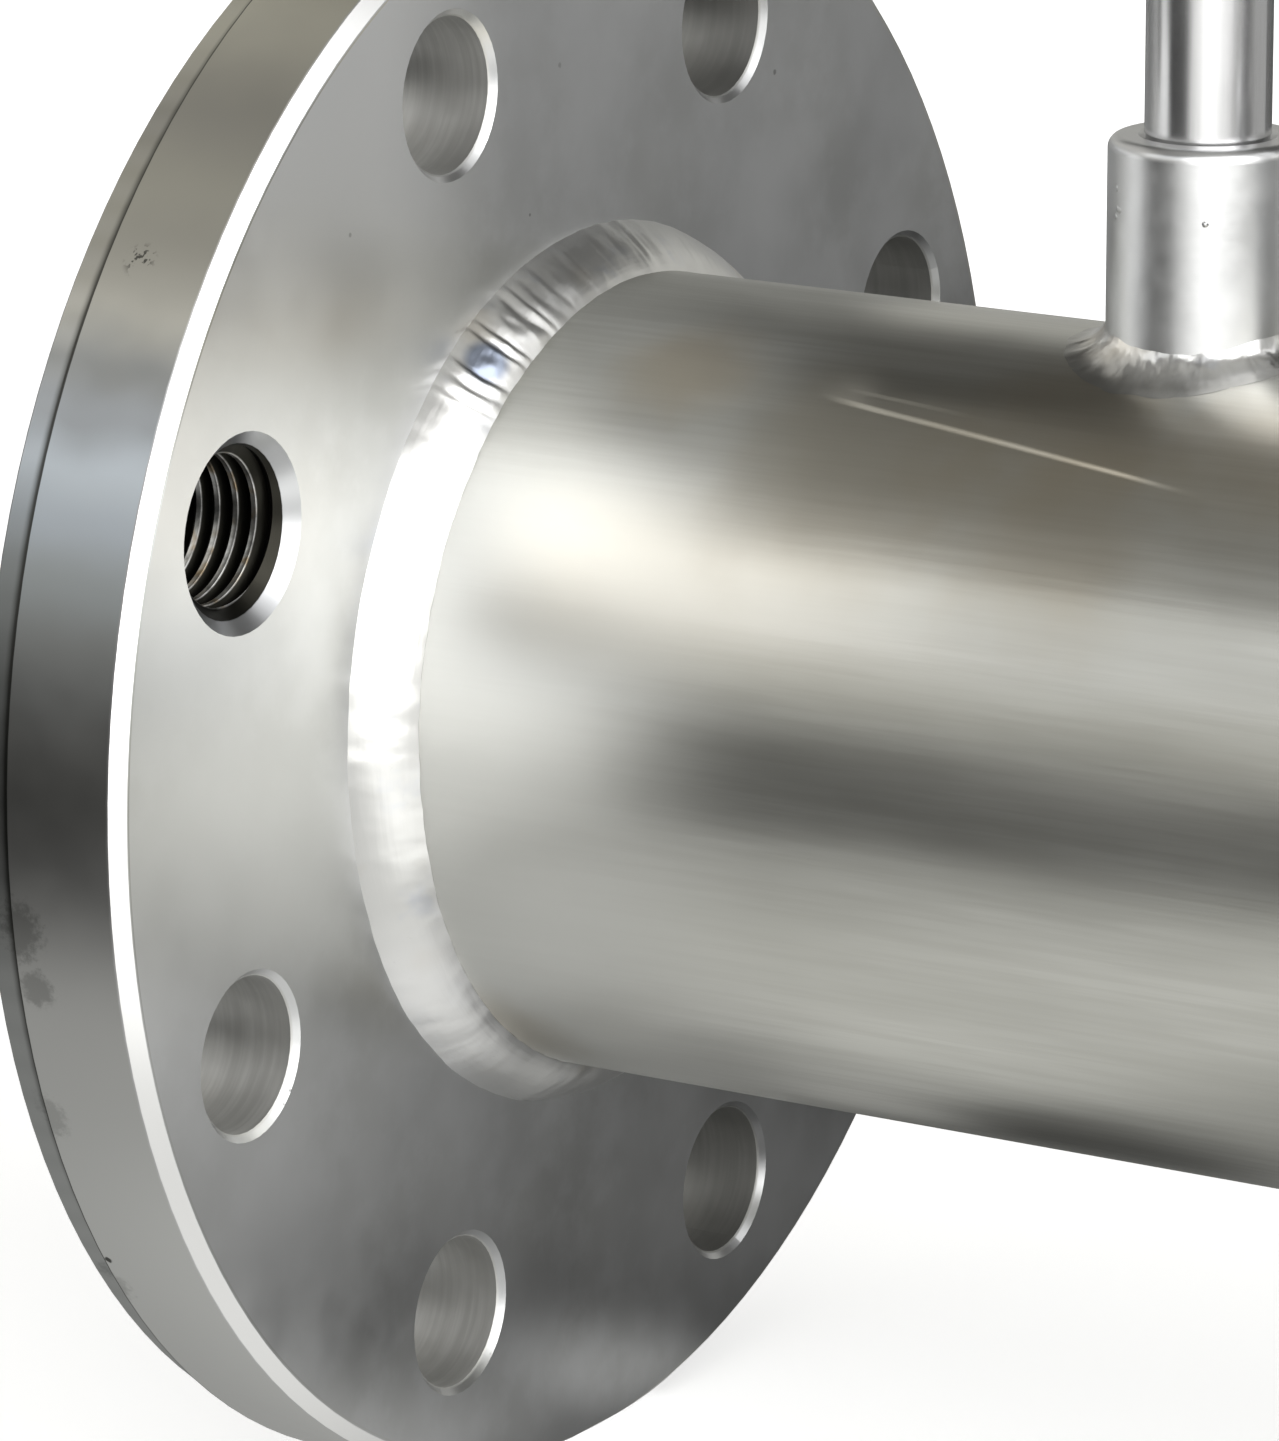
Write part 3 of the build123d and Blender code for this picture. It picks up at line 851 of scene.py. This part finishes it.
def studio_world():
    """Pale low in the sky, nearly black from halfway up, and grey again overhead."""
    world = bpy.data.worlds.new("studio")
    bpy.context.scene.world = world
    world.use_nodes = True
    graph = world.node_tree
    coordinates = graph.nodes.new("ShaderNodeTexCoord")
    split = graph.nodes.new("ShaderNodeSeparateXYZ")
    graph.links.new(coordinates.outputs["Generated"], split.inputs[0])
    stops = ((0.0, 0.45), (0.1, 0.45), (0.2, 0.54), (0.3, 0.70), (0.4, 0.52), (0.5, 0.05),
             (0.6, 0.10), (0.75, 0.02), (0.88, 0.20), (1.0, 0.48))
    level = grey_ramp(graph, split.outputs["Z"], stops)
    warm = blend_color(graph, 1.0, level, (1.0, 0.99, 0.93), "MULTIPLY")
    graph.links.new(warm, graph.nodes["Background"].inputs["Color"])


def softbox(name, azimuth, elevation, distance, width, height, radiance, color, aim):
    """Area lamp that faces the aim. Azimuth 0 is in front, at -Y, and 90 at +X."""
    side = radians(azimuth)
    rise = radians(elevation)
    toward = Vector((sin(side) * cos(rise), -cos(side) * cos(rise), sin(rise)))
    lamp = bpy.data.lights.new(name, "AREA")
    lamp.shape = "RECTANGLE"
    lamp.size = width
    lamp.size_y = height
    lamp.color = color
    lamp.energy = radiance * pi * width * height
    light = bpy.data.objects.new(name, lamp)
    bpy.context.scene.collection.objects.link(light)
    light.location = aim + toward * distance
    light.rotation_euler = toward.to_track_quat("Z", "Y").to_euler()
    light.visible_camera = False


def soft_lights():
    """A wide soft box at the front right and three dimmer ones round it."""
    aim = Vector((0.10, 0, 0.0))
    for name, azimuth, elevation, distance, width, height, radiance, color in (
        ("right_softbox", 44, 27, 1.75, 2.4, 2.1, 2.4, (1.0, 0.995, 0.98)),
        ("right_fill", 94, 37, 1.9, 1.7, 1.6, 1.6, (1.0, 1.0, 0.99)),
        ("left_softbox", -22, 36, 1.8, 1.9, 0.7, 0.86, (0.98, 0.99, 1.0)),
        ("left_fill", -80, 43, 1.8, 2.2, 0.85, 0.58, (1.0, 0.98, 0.92)),
    ):
        softbox(name, azimuth, elevation, distance, width, height, radiance, color, aim)


def card_glow(graph):
    """Glow of the cards: rings on the floor, each with its own levels round it, and spots. The near ring
    and the spots paint the meter's shadow on the floor, darkest under the pipe.
    """
    place = Place(graph)
    centre_x = 0.07
    aside = calc(graph, "SUBTRACT", place.x, centre_x)
    azimuth = calc(graph, "ARCTAN2", aside, calc(graph, "MULTIPLY", place.y, -1.0))
    turn = calc(graph, "MULTIPLY_ADD", azimuth, 0.5 / pi, 0.5)
    brightest = 2.0
    near = ((-180, 0.14), (-150, 0.10), (-100, 0.05), (-60, 0.42), (-20, 0.78), (20, 0.75),
            (60, 0.45), (100, 0.25), (130, 0.44), (150, 0.24), (165, 0.15), (180, 0.17))
    middle = ((-180, 0.04), (-110, 0.12), (-45, 0.48), (-15, 0.58), (10, 0.79), (35, 1.7),
              (60, 1.7), (100, 1.5), (130, 1.0), (150, 0.21), (165, 0.02), (180, 0.04))
    far = ((-180, 0.10), (-150, 0.10), (-110, 0.10), (-75, 0.10), (-50, 0.02), (-12, 0.05), (12, 0.50),
           (35, 1.2), (60, 0.5), (95, 0.35), (130, 0.45), (150, 0.10), (165, 0.03), (180, 0.13))
    outer = ((-180, 0.12), (-110, 0.18), (-75, 0.06), (-45, 0.02), (-25, 0.10), (-13, 0.12), (4, 1.3),
             (35, 1.5), (60, 0.8), (90, 0.5), (130, 0.50), (146, 0.55), (151, 0.20), (180, 0.12))
    rings = []
    for table in (near, middle, far, outer):
        stops = [((degrees + 180) / 360, amount / brightest) for degrees, amount in table]
        rings.append(grey_ramp(graph, turn, stops))
    level = rings[0]
    # Spots of painted shadow under the pipe and by the flange's foot, and two lighter patches between
    # them.
    for x, y, start, end, there in (
        (0.078, 0.020, 0.018, 0.058, 0.05),
        (0.026, -0.006, 0.012, 0.030, 0.20),
        (0.053, -0.016, 0.006, 0.028, 0.48),
        (0.043, 0.022, 0.006, 0.028, 0.48),
    ):
        away = ease(graph, distance_to(graph, place, (x, y, floor_z)), start, end)
        level = blend_color(graph, away, grey(there / brightest), level)
    reach = length_of(graph, aside, place.y)
    ring_edges = ((0.12, 0.20), (0.26, 0.38), (0.58, 0.86))
    for ring, (start, end) in zip(rings[1:], ring_edges):
        level = patch(graph, level, ring, (reach, start, end))
    level = blend_color(graph, 1.0, level, grey(brightest), "MULTIPLY")
    upright = grey_ramp(graph, place.z, ((0.0, 0.03), (0.14, 0.04), (0.3, 0.55), (0.5, 0.30)))
    level = patch(graph, level, upright, (place.z, floor_z + 0.004, floor_z + 0.008))
    return blend_color(graph, 1.0, level, (1.0, 1.0, 0.97), "MULTIPLY")


def glowing_cards():
    """Glowing cards on the floor and upright at the front left, which only the metal mirrors."""
    material = bpy.data.materials.new("glowing_card")
    material.use_nodes = True
    graph = material.node_tree
    # The cards glow, and paint light and shade into what the metal mirrors.
    glow = graph.nodes.new("ShaderNodeEmission")
    graph.links.new(card_glow(graph), glow.inputs["Color"])
    graph.links.new(glow.outputs[0], graph.nodes["Material Output"].inputs["Surface"])
    half = 4.0
    low = floor_z + 0.002
    high = 0.5
    floor_card = level_square(half, low)
    left_foot = (-3.6, -1.6)
    right_foot = (-0.3, -3.2)
    upright_card = [(*left_foot, low), (*right_foot, low), (*right_foot, high), (*left_foot, high)]
    for name, corners in (("floor_card", floor_card), ("upright_card", upright_card)):
        card = new_piece(name, corners, [(0, 1, 2, 3)], material)
        card.visible_camera = False
        card.visible_diffuse = False
        card.visible_shadow = False
        card.visible_transmission = False


def photo_camera():
    """Camera at the photo's angle, found from the flange's edges, holes and pipe."""
    azimuth = radians(31.811)
    elevation = radians(14.421)
    roll = radians(0.138)
    distance = 1.15582
    aim = Vector((0.03294, 0.00122, -0.00798))
    back = Vector((sin(azimuth) * cos(elevation), -cos(azimuth) * cos(elevation), sin(elevation)))
    level = Vector((cos(azimuth), sin(azimuth), 0))
    upright = back.cross(level)
    up = upright * cos(roll) + level * sin(roll)
    right = up.cross(back)
    lens = bpy.data.cameras.new("photo_camera")
    lens.lens = 201.3
    lens.sensor_width = 36.0
    camera = bpy.data.objects.new("photo_camera", lens)
    bpy.context.scene.collection.objects.link(camera)
    turn = Matrix((right, up, back)).transposed().to_4x4()
    camera.matrix_world = Matrix.Translation(aim + back * distance) @ turn
    bpy.context.scene.camera = camera


def dress(material, *names):
    """Gives CAD nodes a material."""
    for name in names:
        slots = nodes[name].data.materials
        slots.clear()
        slots.append(material)


weld = weld_metal("weld_metal", roughness=0.32, grime_share=0.30, toe_share=0.0)
smooth_weld = weld_metal("smooth_weld", roughness=0.29, grime_share=0.75, toe_share=0.85)
cone = cone_steel()
dress(flange_steel(), "inlet_flange", "outlet_flange")
dress(pipe_steel(), "body_tube")
dress(boss_steel(), "high_pressure_coupling", "low_pressure_coupling")
dress(tube_steel(), "high_pressure_tube", "low_pressure_tube")
dress(cone, "support_strut", "cone_stem", "cone_front_shell", "cone_rear_shell", "cone_seam_weld")
dress(weld, "strut_stem_weld")
make_welds(weld, smooth_weld)
thread_turns(thread_steel())
pale_floor()
studio_world()
soft_lights()
glowing_cards()
photo_camera()
bpy.context.scene.view_settings.view_transform = "Standard"
